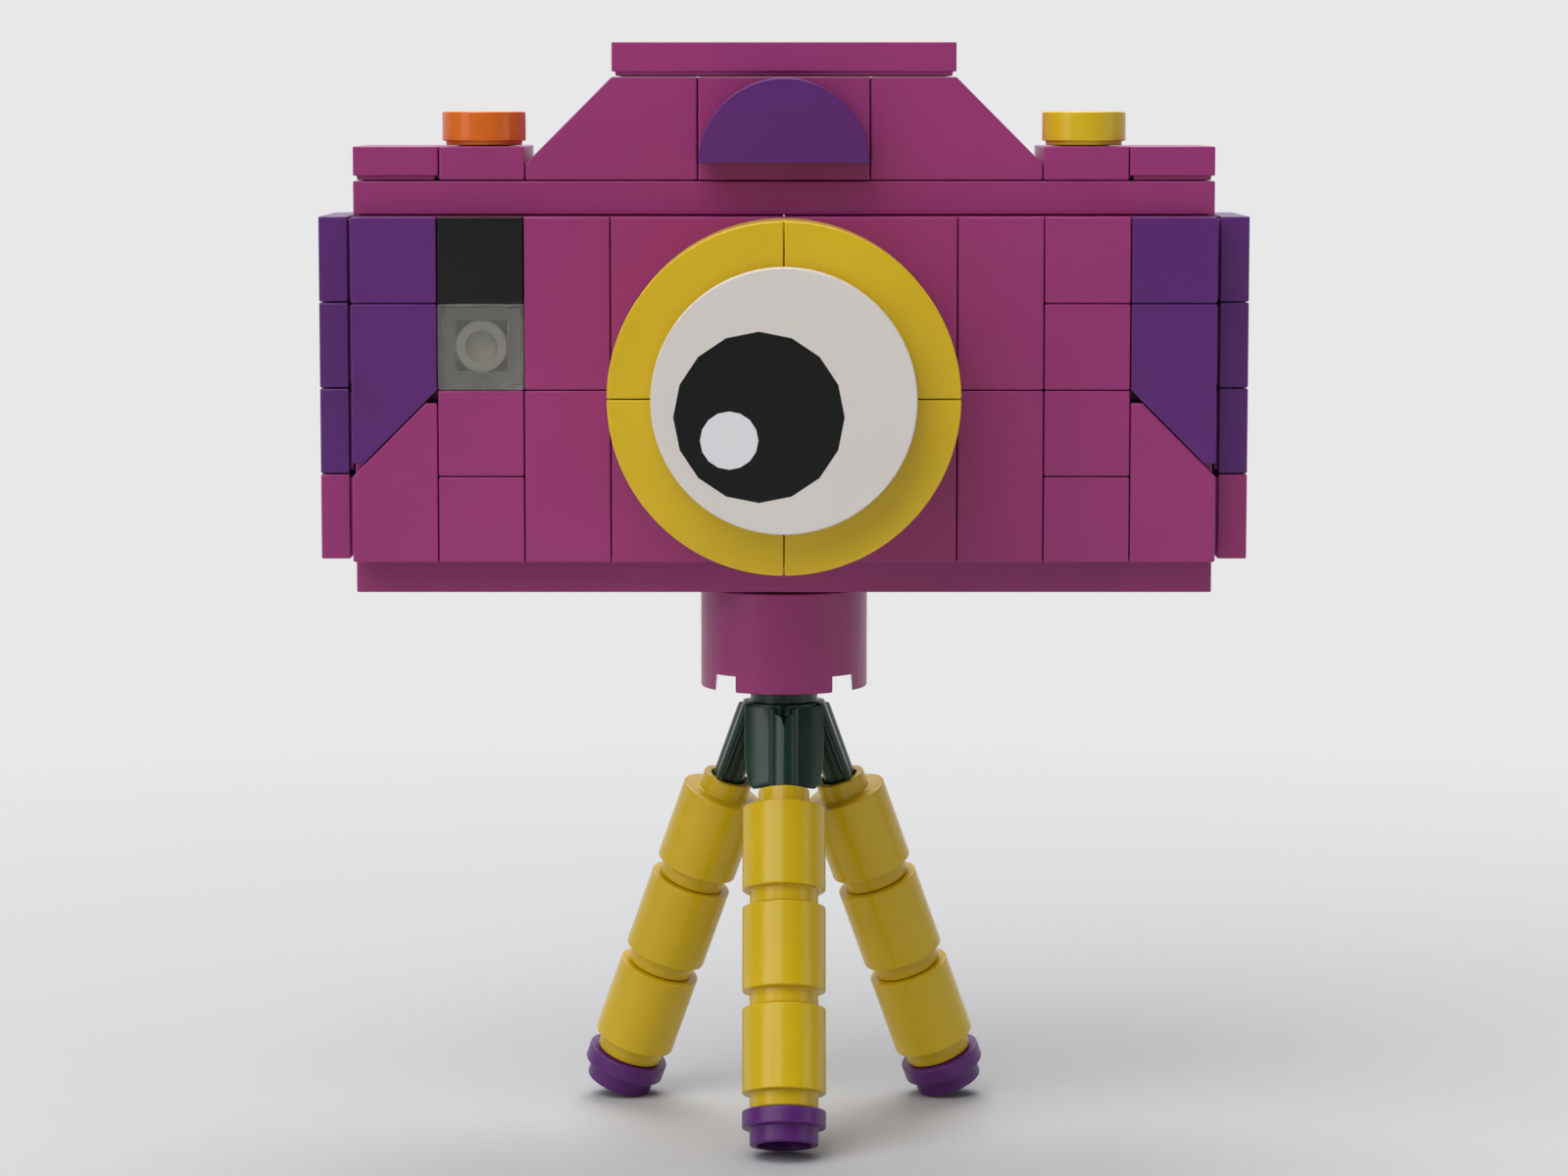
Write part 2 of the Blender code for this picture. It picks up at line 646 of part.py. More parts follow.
def valley_funnel(degrees):
    """A funnel with a fine point, set into the outer side of a bar at its upper end."""
    bm = bmesh.new()
    foot = 11.2
    for radius1, radius2, height in ((0.0, 0.26, 1.2), (0.26, 0.87, 0.45), (0.87, 0.87, 2.0)):
        bmesh.ops.create_cone(bm, cap_ends=False, segments=STUD_SIDES, radius1=radius1, radius2=radius2,
                              depth=height, matrix=Matrix.Translation((0.0, PLAY - BAR_R, foot + height / 2)))
        foot += height
    bmesh.ops.remove_doubles(bm, verts=bm.verts, dist=PLAY / 10)
    bmesh.ops.holes_fill(bm, edges=[e for e in bm.edges if e.is_boundary], sides=0)
    bmesh.ops.transform(bm, matrix=leg_matrix(degrees), verts=bm.verts)
    return bm


def build_hub():
    hub_r = PITCH / 2 - PLAY
    spigot = STUD_R - 0.15
    profile = [(0.0, -6.5), (spigot, -6.5), (spigot, NECK_BASE - SEAT), (LIP_R, NECK_BASE - SEAT),
               (LIP_R, HUB_TOP), (hub_r, HUB_TOP), (hub_r, HUB_TOP - LIP_H), (STUD_R, HUB_TOP - LIP_H),
               (STUD_R, HUB_TOP - LIP_H - STUD_H), (0.0, HUB_TOP - LIP_H - STUD_H)]
    hub = add_turned("tripod_hub", profile, HUB_SIDES, "green", world_point(0.0, CORE_MID, 0.0))

    # Each leg has its own small slope at the top and its own width, so that no two tops lie in one plane
    # and no two blades meet edge on edge
    for index, (word, degrees) in enumerate(LEG_TURNS.items()):
        fall = 0.06 + 0.03 * index
        blade = cut_top(leaf_blade(3.76 + 0.04 * index), degrees, fall)
        combine(hub, to_mesh(blade, "hub_blade_" + word), "UNION", "blade_" + word)
        bar = grow_prism(disc_outline(BAR_R, ROUND_SIDES), BLADE_HIGH - BAR_END)
        bmesh.ops.translate(bar, vec=(0.0, 0.0, BAR_END), verts=bar.verts)
        combine(hub, to_mesh(cut_top(bar, degrees, 2 * fall), "hub_bar_" + word), "UNION", "bar_" + word)
        combine(hub, to_mesh(valley_funnel(degrees), "hub_valley_" + word), "DIFFERENCE", "valley_" + word)


LEG_BRICK = [(1.7, BODY_H / 2 + STUD_H), (STUD_R, BODY_H / 2 + STUD_H), (STUD_R, BODY_H / 2),
             (PITCH / 2 - PLAY, BODY_H / 2), (PITCH / 2 - PLAY, -BODY_H / 2), (LIP_R, -BODY_H / 2),
             (LIP_R, SEAT - BODY_H / 2 - LIP_H), (STUD_R + PLAY, SEAT - BODY_H / 2 - LIP_H),
             (STUD_R + PLAY, BODY_H / 2 - LIP_H), (1.7, BODY_H / 2 - LIP_H)]

FOOT = [(0.0, STUD_H), (STUD_R, STUD_H), (STUD_R, 0.0), (PITCH / 2 - PLAY, 0.0), (PITCH / 2 - PLAY, -LIP_H),
        (LIP_R, -LIP_H), (LIP_R, -PLATE), (STUD_R + PLAY, -PLATE), (STUD_R + PLAY, SOCKET - PLATE),
        (0.0, SOCKET - PLATE)]


def build_legs():
    for word, degrees in LEG_TURNS.items():
        frame = leg_matrix(degrees)
        start = frame.to_translation()
        axis = add_empty("leg_%s_axis" % word, world_point(start.x, start.y + CORE_MID, start.z),
                         frame.to_euler())
        for index in range(3):
            add_turned("leg_%s_%d" % (word, index + 1), LEG_BRICK, ROUND_SIDES, "yellow",
                       (0.0, 0.0, -index * BRICK * MM), UPRIGHT, axis)
        foot_top = -(BODY_H / 2 + 2 * BRICK + LIP_H)
        add_turned("foot_" + word, FOOT, ROUND_SIDES, "purple", (0.0, 0.0, foot_top * MM), UPRIGHT, axis)


def main():
    pivot = add_empty("pan_axis", world_point(0.0, CORE_MID, NECK_BASE), UPRIGHT)
    build_core(pivot)
    build_plates(pivot)
    build_front_tiles(pivot)
    build_flank_tiles(pivot)
    build_deck(pivot)
    build_hump(pivot)
    build_lens(pivot)
    build_neck(pivot)
    build_hub()
    build_legs()
    bpy.context.view_layer.update()


main()
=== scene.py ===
import math

import bmesh
import bpy
from mathutils import Euler, Matrix, Vector


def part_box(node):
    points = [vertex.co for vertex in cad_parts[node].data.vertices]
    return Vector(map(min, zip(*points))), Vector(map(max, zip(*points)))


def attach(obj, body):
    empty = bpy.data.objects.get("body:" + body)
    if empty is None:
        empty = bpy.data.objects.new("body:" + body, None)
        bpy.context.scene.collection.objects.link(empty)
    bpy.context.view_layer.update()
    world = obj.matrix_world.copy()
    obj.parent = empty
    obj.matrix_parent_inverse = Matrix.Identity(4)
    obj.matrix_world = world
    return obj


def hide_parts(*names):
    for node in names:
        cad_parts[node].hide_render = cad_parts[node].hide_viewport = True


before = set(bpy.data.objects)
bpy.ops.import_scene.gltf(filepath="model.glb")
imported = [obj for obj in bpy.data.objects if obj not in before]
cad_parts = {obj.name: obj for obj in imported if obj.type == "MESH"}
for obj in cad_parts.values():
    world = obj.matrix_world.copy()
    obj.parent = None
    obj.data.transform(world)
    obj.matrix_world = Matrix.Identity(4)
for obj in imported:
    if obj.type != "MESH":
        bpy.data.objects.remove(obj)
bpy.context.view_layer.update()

MM = 0.001

# The block system, in millimetres; GAP is half the joint between two tiles, PLAY the room of other pieces
PITCH = 8.0
PLATE = 3.2
BRICK = 9.6
STUD_R = 2.4
STUD_H = 1.7
PLAY = 0.1
GAP = 0.05
SEAT = 0.1
WALL = 1.4
SNUG = 1.54
SOCKET = 1.9
GROOVE_H = 0.5
GROOVE_IN = 0.35
TUBE_R = 3.1
SINK = 0.4

# The body, with x to the right, y away from the front tiles and z up from their lower edge
COLUMNS = 10
ROWS = 4
HALF_WIDTH = COLUMNS * PITCH / 2
FIELD_H = ROWS * PITCH
DEPTH = 2 * PITCH
CORE_FRONT = PLATE
CORE_MID = CORE_FRONT + DEPTH / 2
DECK_Z = FIELD_H + PLATE
HUMP_Z = DECK_Z + BRICK
BUTTON_X = 3.5 * PITCH
FRONT_STUD_Y = CORE_FRONT + PITCH / 2
LENS_Z = FIELD_H / 2
LENS_FRONT = -BRICK - 2 * PLATE
DRUM_RECESS = 9.4
CUT_TIP = 1.2 - PITCH

# Courses of the core from below: height, and the stud columns where its bricks end
COURSES = ((BRICK, (-5, -1, 1, 5)), (BRICK, (-5, -3, 0, 3, 5)),
           (BRICK, (-5, -1, 1, 5)), (PLATE, (-5, 0, 5)))

# What is seen through the flash tile: a back plate in a shaded copy of the stud's grey (painted shade), a
# thin dark sheet of painted shade in the socket round the stud, and a stud with a round bowl in it
FLASH_PROUD = 0.08
FLASH_SUNK = 0.05
SHADE_SHEET_RISE = 0.02
SHADE_SHEET_ROOM = 0.02
BOWL_R = 1.5
BOWL_DEPTH = 1.1
BOWL_STEPS = 8
BOWL_SUNK = 0.02

# The eye's print: name, look, radius, place to the right and up, and share of the print's height
PRINT_H = 0.03
PRINT_SUNK = 0.1
PRINT_RIM = 0.2
PRINT_SIDES = 16
EYE_PRINT = (("eye_pupil", "ink_black", 7.63, -2.23, -1.40, 0.5),
             ("eye_glint", "ink_white", 2.60, -4.88, -3.46, 1.0))

# The stand
NECK_R = 8.0
NECK_BASE = -PLATE - BRICK
NOTCH_IN = 4.56
NOTCH_OUT = 6.45
NOTCH_H = 1.55
NOTCH_BAND = 0.3
HUB_TOP = -14.3
SPIGOT_TOP = -6.5
SPIGOT_PLAY = 0.15
LEG_TILT = math.radians(22.0)
LEG_REACH = 8.3
LEG_Z = -27.4
LEG_TURNS = {"front": 0.0, "left": -120.0, "right": 120.0}
BODY_H = 8.0
LIP_H = 1.6
LIP_R = 3.2
HOLE_R = 1.7
BAR_R = 1.5
BAR_END = 1.5
BAR_CAP = 0.8
BLADE_TOP = HUB_TOP - 0.3
BLADE_LOW = 6.0
BLADE_HIGH = 16.0
BLADE_OUT = 0.6
BLADE_BOW = 6.0
BLADE_THICK = 0.7

# Greatest half width of the first blade, the fall of its top, and what each next blade adds
BLADE_HALF = 3.76
BLADE_HALF_STEP = 0.04
BLADE_FALL = 0.06
BLADE_FALL_STEP = 0.03

# Limits of a blade's half width: a width, the height where it holds and its gain per millimetre above
BLADE_SIDES = [(3.72, 9.0, 0.06), (3.45, 6.5, 0.12), (2.95, BLADE_LOW, 1.0)]

# Rises over a blade's lower end, and the share of its thickness there
BLADE_RISES = ((0.0, 0.5), (0.06, 0.8), (0.18, 1.0), (0.5, 1.0), (1.2, 1.0), (2.2, 1.0), (3.4, 1.0),
               (5.0, 1.0), (BLADE_HIGH - BLADE_LOW, 1.0))

# Radius and height of the fine pointed funnel that makes the valley in a bar's upper end
VALLEY = ((0.02, 11.2), (0.26, 12.4), (0.40, 12.55), (0.87, 12.85), (0.87, 15.0))

# Rounding of the moulded edges
EDGE = 0.16
STUD_EDGE = 0.2
TUBE_EDGE = 0.15
BOWL_EDGE = 0.12
HUB_EDGE = 0.1
FLASH_EDGE = 0.02
PRINT_EDGE = 0.005
CORNER = 0.18
NOTCH_CORNER = 0.1
LEAST_CORNER = 0.05

# Where the flat ends inside a rounded edge start: from a tile's or a body's side, and round a stud's axis
CAP_IN = 0.45
END_IN = 1.0
CAP_R = 1.0

# Steps of the round surfaces, and the angle and bend that still count as smooth
EASE_STEPS = 4
CORNER_STEPS = 4
ROUND_SIDES = 64
LENS_SIDES = 128
HUB_SIDES = 60
STUD_SIDES = 32
HOOD_STEPS = 48
BLADE_STEPS = 24
EDGE_STEPS = 6
SHARP = math.radians(35.0)
SMOOTH_BEND = 0.9

# The body's own zero point in the part's frame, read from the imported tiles
ZERO = Vector((0.0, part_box("window_tile")[0].y / MM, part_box("tile_left_4")[0].z / MM - PLAY))

FACE_FRONT = Euler((math.pi / 2, 0.0, 0.0))
FACE_RIGHT = Euler((0.0, math.pi / 2, 0.0))
FACE_LEFT = Euler((0.0, -math.pi / 2, 0.0))
UPRIGHT = Euler((0.0, 0.0, 0.0))
UPSIDE = Euler((math.pi / 2, math.pi, 0.0))


def spot(x, y, z, turn=UPRIGHT):
    """Where a piece sits in the body's frame, and how it is turned."""
    return Matrix.Translation(ZERO + Vector((x, y, z))) @ turn.to_matrix().to_4x4()


# Materials: sizes of the plastic's patterns per metre, and how far its gloss wanders

FLOW_SCALE = 60.0
MARK_SCALE = 90.0
MARK_STRETCH = (1.0, 4.0, 1.0)
MARK_TURN = (0.3, 0.5, 0.7)
PORE_SCALE = 1400.0
PORE_DEPTH = 0.00005
GLOSS_DRIFT = 0.02
NOISE_LOW = 0.3
NOISE_HIGH = 0.7


def linear(value):
    if value <= 0.04045:
        return value / 12.92
    return ((value + 0.055) / 1.055) ** 2.4


def tone(seen, gain=1.0):
    return [min(linear(v / 255.0) * gain, 1.0) for v in seen] + [1.0]


def wire(tree, source, output, target, socket):
    tree.links.new(source.outputs[output], target.inputs[socket])


def add_noise(tree, coord, scale, detail, stretch=None):
    noise = tree.nodes.new("ShaderNodeTexNoise")
    noise.inputs["Scale"].default_value = scale
    noise.inputs["Detail"].default_value = detail
    if stretch:
        mapping = tree.nodes.new("ShaderNodeMapping")
        mapping.inputs["Scale"].default_value = stretch
        mapping.inputs["Rotation"].default_value = MARK_TURN
        wire(tree, coord, "Object", mapping, "Vector")
        wire(tree, mapping, "Vector", noise, "Vector")
    else:
        wire(tree, coord, "Object", noise, "Vector")
    return noise


def add_range(tree, source, low, high):
    """Spreads the middle of a noise over the range from low to high."""
    band = tree.nodes.new("ShaderNodeMapRange")
    band.inputs["From Min"].default_value = NOISE_LOW
    band.inputs["From Max"].default_value = NOISE_HIGH
    band.inputs["To Min"].default_value = low
    band.inputs["To Max"].default_value = high
    wire(tree, source, "Fac", band, "Value")
    return band


def make_plastic(name, seen, rough, drift=0.06, clear=0.0, ior=1.46, grain=0.06):
    """Moulded plastic: slow drift of tone, fine skin texture and faint handling marks."""
    material = bpy.data.materials.new(name)
    material.use_nodes = True
    tree = material.node_tree
    shader = tree.nodes["Principled BSDF"]
    coord = tree.nodes.new("ShaderNodeTexCoord")

    flow = add_noise(tree, coord, FLOW_SCALE, detail=3.0)
    amount = add_range(tree, flow, 0.0, 1.0)
    mix = tree.nodes.new("ShaderNodeMix")
    mix.data_type = "RGBA"
    mix.inputs["A"].default_value = tone(seen, 1.0 - drift)
    mix.inputs["B"].default_value = tone(seen, 1.0 + drift)
    wire(tree, amount, "Result", mix, "Factor")
    wire(tree, mix, "Result", shader, "Base Color")

    marks = add_noise(tree, coord, MARK_SCALE, detail=4.0, stretch=MARK_STRETCH)
    gloss = add_range(tree, marks, rough - GLOSS_DRIFT, rough + GLOSS_DRIFT)
    wire(tree, gloss, "Result", shader, "Roughness")

    pores = add_noise(tree, coord, PORE_SCALE, detail=2.0)
    bump = tree.nodes.new("ShaderNodeBump")
    bump.inputs["Strength"].default_value = grain
    bump.inputs["Distance"].default_value = PORE_DEPTH
    wire(tree, pores, "Fac", bump, "Height")
    wire(tree, bump, "Normal", shader, "Normal")

    shader.inputs["IOR"].default_value = ior
    if clear:
        shader.inputs["Transmission Weight"].default_value = clear
    return material


# Tones from 0 to 255 as on a screen, then roughness, drift of tone and what else differs
LOOKS = {
    "magenta": make_plastic("magenta_plastic", (153, 48, 115), 0.34),
    "purple": make_plastic("purple_plastic", (89, 29, 112), 0.34),
    "yellow": make_plastic("yellow_plastic", (216, 181, 15), 0.24),
    "orange": make_plastic("orange_plastic", (220, 104, 11), 0.20),
    "white": make_plastic("white_plastic", (220, 214, 208), 0.32, 0.02),
    "black": make_plastic("black_plastic", (14, 14, 14), 0.30, 0.10, ior=1.38),
    "clear": make_plastic("clear_plastic", (226, 228, 224), 0.06, 0.02, clear=0.96, grain=0.01),
    "green": make_plastic("green_plastic", (14, 52, 37), 0.30, 0.10),
    "grey": make_plastic("grey_plastic", (176, 169, 162), 0.34, 0.04),
    # A shaded copy of the stud's grey: painted shade on the back plate behind the flash tile
    "shaded_grey": make_plastic("shaded_grey_plastic", (148, 144, 135), 0.34, 0.06),
    # Painted shade: a dark copy of the grey for the sheet that stands for the shade in the flash socket
    "painted_shade_grey": make_plastic("painted_shade_grey_plastic", (84, 80, 74), 0.34, 0.06),
    "ink_black": make_plastic("printed_black", (11, 12, 14), 0.30, 0.06, ior=1.34),
    "ink_white": make_plastic("printed_white", (225, 227, 229), 0.30, 0.02),
}


# Profiles and skins

def eased(points, radius=EDGE, closed=False):
    """A polyline of (reach, height) points with each sharp corner drawn as a small arc."""
    points = [Vector(p) for p in points]
    count = len(points)
    result = []
    for i, here in enumerate(points):
        if not closed and i in (0, count - 1):
            result.append(here)
            continue
        before, after = points[i - 1], points[(i + 1) % count]
        back, ahead = before - here, after - here
        cut = min(radius, back.length / 3, ahead.length / 3)
        first = here + back.normalized() * cut
        last = here + ahead.normalized() * cut
        for step in range(EASE_STEPS + 1):
            t = step / EASE_STEPS
            result.append(first.lerp(here, t).lerp(here.lerp(last, t), t))
    return result


def inward_pair(points, i):
    """The inward normals of the two sides that meet at one corner of an outline."""
    here = points[i]
    first = (here - points[i - 1]).normalized()
    second = (points[(i + 1) % len(points)] - here).normalized()
    return Vector((-first.y, first.x)), Vector((-second.y, second.x))


def drawn_in(points, inset):
    """A polygon whose sides have all moved inward by the same distance."""
    points = [Vector(p) for p in points]
    moved_in = []
    for i, here in enumerate(points):
        inward, inward_next = inward_pair(points, i)
        moved_in.append(here + (inward + inward_next) * inset / (1.0 + inward.dot(inward_next)))
    return moved_in


def softened(points, radius):
    """An outline with its sharp corners replaced by small arcs."""
    ring = []
    for i, here in enumerate(points):
        inward, inward_next = inward_pair(points, i)
        bend = inward.dot(inward_next)
        if bend > SMOOTH_BEND:
            ring.append(here)
            continue
        centre = here + (inward + inward_next) * radius / (1.0 + bend)
        start = math.atan2(-inward.y, -inward.x)
        sweep = math.acos(bend)
        for step in range(CORNER_STEPS + 1):
            angle = start + sweep * step / CORNER_STEPS
            ring.append(centre + radius * Vector((math.cos(angle), math.sin(angle))))
    return ring


def polygon(points):
    """A shape that gives its outline at any inset."""
    return lambda inset: drawn_in(points, inset)


def arc_points(radius, first, last, steps):
    angles = [first + (last - first) * k / steps for k in range(steps + 1)]
    return [Vector((radius * math.cos(a), radius * math.sin(a))) for a in angles]


def half_disc(radius, steps):
    """A half disc over the x axis, its flat side GAP above it."""
    def outline(inset):
        reach = radius - inset
        start = math.asin((GAP + inset) / reach)
        return arc_points(reach, start, math.pi - start, steps)
    return outline


def quarter_ring(inner, outer, steps):
    """A quarter of a ring between the x and y axes, GAP away from both."""
    def outline(inset):
        points = []
        for reach, order in ((outer - inset, 1), (inner + inset, -1)):
            start = math.asin((GAP + inset) / reach)
            points += arc_points(reach, start, math.pi / 2 - start, steps)[::order]
        return points
    return outline


def skin(rings, closed=False):
    """Faces between rings of points, capped at both ends or joined into a loop."""
    bm = bmesh.new()
    loops = [[bm.verts.new(p) for p in ring] for ring in rings]
    pairs = list(zip(loops, loops[1:]))
    if closed:
        pairs.append((loops[-1], loops[0]))
    for upper, lower in pairs:
        for i in range(len(upper)):
            bm.faces.new((upper[i - 1], upper[i], lower[i], lower[i - 1]))
    if not closed:
        bm.faces.new(loops[0])
        bm.faces.new(loops[-1][::-1])
    return bm


def loft(shape, levels, corner=CORNER):
    """A shape's outline carried through (inset, height) levels."""
    rings = []
    for level in levels:
        outline = softened(shape(level.x), max(corner - level.x, LEAST_CORNER))
        rings.append([(p.x, p.y, level.y) for p in outline])
    return skin(rings)


def spun(levels, sides, closed=False):
    """A turned body from (radius, height) levels."""
    angles = [math.tau * k / sides for k in range(sides)]
    rings = [[(level.x * math.cos(a), level.x * math.sin(a), level.y) for a in angles] for level in levels]
    return skin(rings, closed)


def join_in(bm, other):
    """Adds the faces of another body."""
    scratch = bpy.data.meshes.new("scratch")
    other.to_mesh(scratch)
    other.free()
    bm.from_mesh(scratch)
    bpy.data.meshes.remove(scratch)


def moved(bm, matrix):
    bmesh.ops.transform(bm, matrix=matrix, verts=bm.verts)
    return bm


def to_object(bm, name):
    bmesh.ops.recalc_face_normals(bm, faces=bm.faces)
    mesh = bpy.data.meshes.new(name)
    bm.to_mesh(mesh)
    bm.free()
    item = bpy.data.objects.new(name, mesh)
    bpy.context.scene.collection.objects.link(item)
    return item


def carved(base, tools):
    """A body after a row of unions and cuts, as one mesh."""
    body = to_object(base, "carve_base")
    helpers = []
    for operation, tool in tools:
        helper = to_object(tool, "carve_tool")
        modifier = body.modifiers.new("carve", "BOOLEAN")
        modifier.operation = operation
        modifier.solver = "EXACT"
        modifier.object = helper
        helpers.append(helper)
    shape = body.evaluated_get(bpy.context.evaluated_depsgraph_get())
    result = bmesh.new()
    result.from_mesh(shape.to_mesh())
    for item in helpers + [body]:
        mesh = item.data
        bpy.data.objects.remove(item)
        bpy.data.meshes.remove(mesh)
    return result


def add_piece(name, bm, place, look, body, *nodes):
    """Finishes a piece in the part's frame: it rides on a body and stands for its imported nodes."""
    moved(bm, Matrix.Scale(MM, 4) @ place)
    piece = to_object(bm, name)
    piece.data.shade_smooth()
    piece.data.set_sharp_from_angle(angle=SHARP)
    piece.data.materials.append(LOOKS[look])
    normals = piece.modifiers.new("flat_faces", "WEIGHTED_NORMAL")
    normals.mode = "FACE_AREA"
    normals.weight = 90
    normals.keep_sharp = True
    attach(piece, body)
    if nodes:
        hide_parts(*nodes)


# Block shapes, each with its studs pointing up and its top at z = 0

def rectangle(width, depth):
    x, y = width / 2, depth / 2
    return polygon([(-x, -y), (x, -y), (x, y), (-x, y)])


def grid_outline(columns, rows):
    return rectangle(columns * PITCH - 2 * GAP, rows * PITCH - 2 * GAP)


TILE_SIDE = [(CAP_IN, 0.0), (0.0, 0.0), (0.0, GROOVE_H - PLATE), (GROOVE_IN, GROOVE_H - PLATE),
             (GROOVE_IN, SEAT - PLATE)]
FLAT_TILE = eased(TILE_SIDE + [(CAP_IN, SEAT - PLATE)])
TILE = eased(TILE_SIDE + [(WALL, SEAT - PLATE), (WALL, SEAT - PLATE + SOCKET)])
SNUG_TILE = eased(TILE_SIDE + [(SNUG, SEAT - PLATE), (SNUG, SEAT - PLATE + SOCKET)])


def block_levels(height, hollow):
    """The side of a plate or brick that is open below."""
    return eased([(CAP_IN, 0.0), (0.0, 0.0), (0.0, SEAT - height), (WALL, SEAT - height),
                  (WALL, SEAT - height + hollow)])


def solid_levels(top, base, radius=EDGE):
    """The side of a body that is closed above and below."""
    return eased([(END_IN, top), (0.0, top), (0.0, base), (END_IN, base)], radius)


def stud(x, y):
    levels = eased([(CAP_R, STUD_H), (STUD_R, STUD_H), (STUD_R, -SINK), (CAP_R, -SINK)], STUD_EDGE)
    return moved(spun(levels, STUD_SIDES), Matrix.Translation((x, y, 0.0)))


# The core: brick courses, the panel behind the lens, what shows behind the flash tile, and two plates

def build_core():
    courses = bmesh.new()
    for level, (height, ends) in enumerate(COURSES):
        top = level * BRICK + height
        for left, right in zip(ends, ends[1:]):
            width = (right - left) * PITCH - 2 * GAP
            brick = loft(rectangle(width, DEPTH - 2 * PLAY), solid_levels(0.0, SEAT - height))
            join_in(courses, moved(brick, Matrix.Translation(((left + right) / 2 * PITCH, 0.0, top))))
    add_piece("core_bricks", courses, spot(0.0, CORE_MID, 0.0), "magenta", "camera_body", "core_frame")

    panel = loft(grid_outline(4, 4), block_levels(PLATE, SOCKET))
    add_piece("lens_panel", panel, spot(0.0, 0.0, LENS_Z, FACE_FRONT), "magenta", "camera_body")


def build_flash():
    place = spot(-BUTTON_X, CORE_FRONT + PLAY - FLASH_PROUD, 2.5 * PITCH, FACE_FRONT)
    shade_sheet = PITCH - 2 * (GAP + SNUG + SHADE_SHEET_ROOM)
    # The back plate's tone is a shaded copy of the stud's grey, and the dark sheet inside the socket is
    # painted shade
    for name, width, lift, look in (("flash_back", PITCH - 2 * GAP, 0.0, "shaded_grey"),
                                    ("flash_painted_shade", shade_sheet, SHADE_SHEET_RISE, "painted_shade_grey")):
        levels = solid_levels(lift, -FLASH_SUNK, FLASH_EDGE)
        add_piece(name, loft(rectangle(width, width), levels), place, look, "camera_body")

    turns = [k * math.pi / 2 / BOWL_STEPS for k in range(1, BOWL_STEPS + 1)]
    bowl = [Vector((BOWL_R * math.sin(a), STUD_H - BOWL_DEPTH * math.cos(a))) for a in turns]
    rim = eased([bowl[-1], (STUD_R, STUD_H), (STUD_R, -BOWL_SUNK), (CAP_R, -BOWL_SUNK)], BOWL_EDGE)
    add_piece("flash_stud", spun(bowl[:-1] + rim, STUD_SIDES), place, "grey", "camera_body")


def build_plates():
    outline = grid_outline(COLUMNS, 2)
    top = loft(outline, block_levels(PLATE, SOCKET))
    add_piece("top_plate_moulded", top, spot(0.0, CORE_MID, DECK_Z), "magenta", "camera_body", "top_plate")

    bottom = loft(outline, block_levels(PLATE, SOCKET))
    base = SEAT - PLATE
    roof = base + SOCKET
    wall = eased([(STUD_R, base), (TUBE_R, base), (TUBE_R, roof), (STUD_R, roof)], TUBE_EDGE, True)
    for column in range(1 - COLUMNS // 2, COLUMNS // 2):
        tube = spun(wall, STUD_SIDES, True)
        join_in(bottom, moved(tube, Matrix.Translation((column * PITCH, 0.0, 0.0))))
    add_piece("bottom_plate_moulded", bottom, spot(0.0, CORE_MID, 0.0), "magenta", "camera_body",
              "bottom_plate")


# Tiles

def cut_outline(side):
    """A 1 x 2 tile outline with its lower end cut at 45 degrees; the long edge is at -side."""
    half = PITCH / 2 - GAP
    top = PITCH - GAP
    slack = GAP * math.sqrt(2.0)
    start = half - PITCH / 2 + slack
    tip = CUT_TIP + PITCH / 2 - slack
    points = [(-half, CUT_TIP), (tip, CUT_TIP), (half, start), (half, top), (-half, top)]
    if side < 0:
        points = [(-x, y) for x, y in reversed(points)]
    return polygon(points)


def add_tile(node, shape, look, place, levels=TILE):
    add_piece(node + "_moulded", loft(shape, levels), place, look, "camera_body", node)


def build_front_tiles():
    def place_of(column, row, turn=FACE_FRONT):
        return spot((column - (COLUMNS + 1) / 2) * PITCH, 0.0, (ROWS - row + 0.5) * PITCH, turn)

    square = grid_outline(1, 1)
    upright = grid_outline(1, 2)
    for side, word, column, inner in ((-1, "left", 1, 3), (1, "right", COLUMNS, COLUMNS - 2)):
        add_tile("tile_corner_" + word, square, "purple", place_of(column, 1))
        cut = cut_outline(-side)
        add_tile("tile_cut_upper_" + word, cut, "purple", place_of(column, 2.5), FLAT_TILE)
        add_tile("tile_cut_lower_" + word, cut, "magenta", place_of(column, 3.5, UPSIDE), FLAT_TILE)
        add_tile("tile_inner_" + word + "_upper", upright, "magenta", place_of(inner, 1.5))
        add_tile("tile_inner_" + word + "_lower", upright, "magenta", place_of(inner, 3.5))
    add_tile("window_tile", square, "black", place_of(2, 1))
    add_tile("flash_tile", square, "clear", place_of(2, 2), SNUG_TILE)
    for row in (3, 4):
        add_tile("tile_left_%d" % row, square, "magenta", place_of(2, row))
    for row in range(1, ROWS + 1):
        add_tile("tile_right_%d" % row, square, "magenta", place_of(COLUMNS - 1, row))


def build_flank_tiles():
    outline = grid_outline(1, 2)
    for side, word, turn in ((-1, "left", FACE_LEFT), (1, "right", FACE_RIGHT)):
        for row in range(1, ROWS + 1):
            look = "magenta" if row == ROWS else "purple"
            place = spot(side * (HALF_WIDTH + PLATE), CORE_MID, (ROWS - row + 0.5) * PITCH, turn)
            add_tile("flank_%s_%d" % (word, row), outline, look, place)


# The deck, the hump and the two round tiles

def round_tile(radius):
    levels = eased([(radius - END_IN, 0.0), (radius, 0.0), (radius, GROOVE_H - PLATE),
                    (radius - GROOVE_IN, GROOVE_H - PLATE), (radius - GROOVE_IN, SEAT - PLATE),
                    (STUD_R + PLAY, SEAT - PLATE), (STUD_R + PLAY, SEAT - PLATE + SOCKET)])
    return spun(levels, ROUND_SIDES)


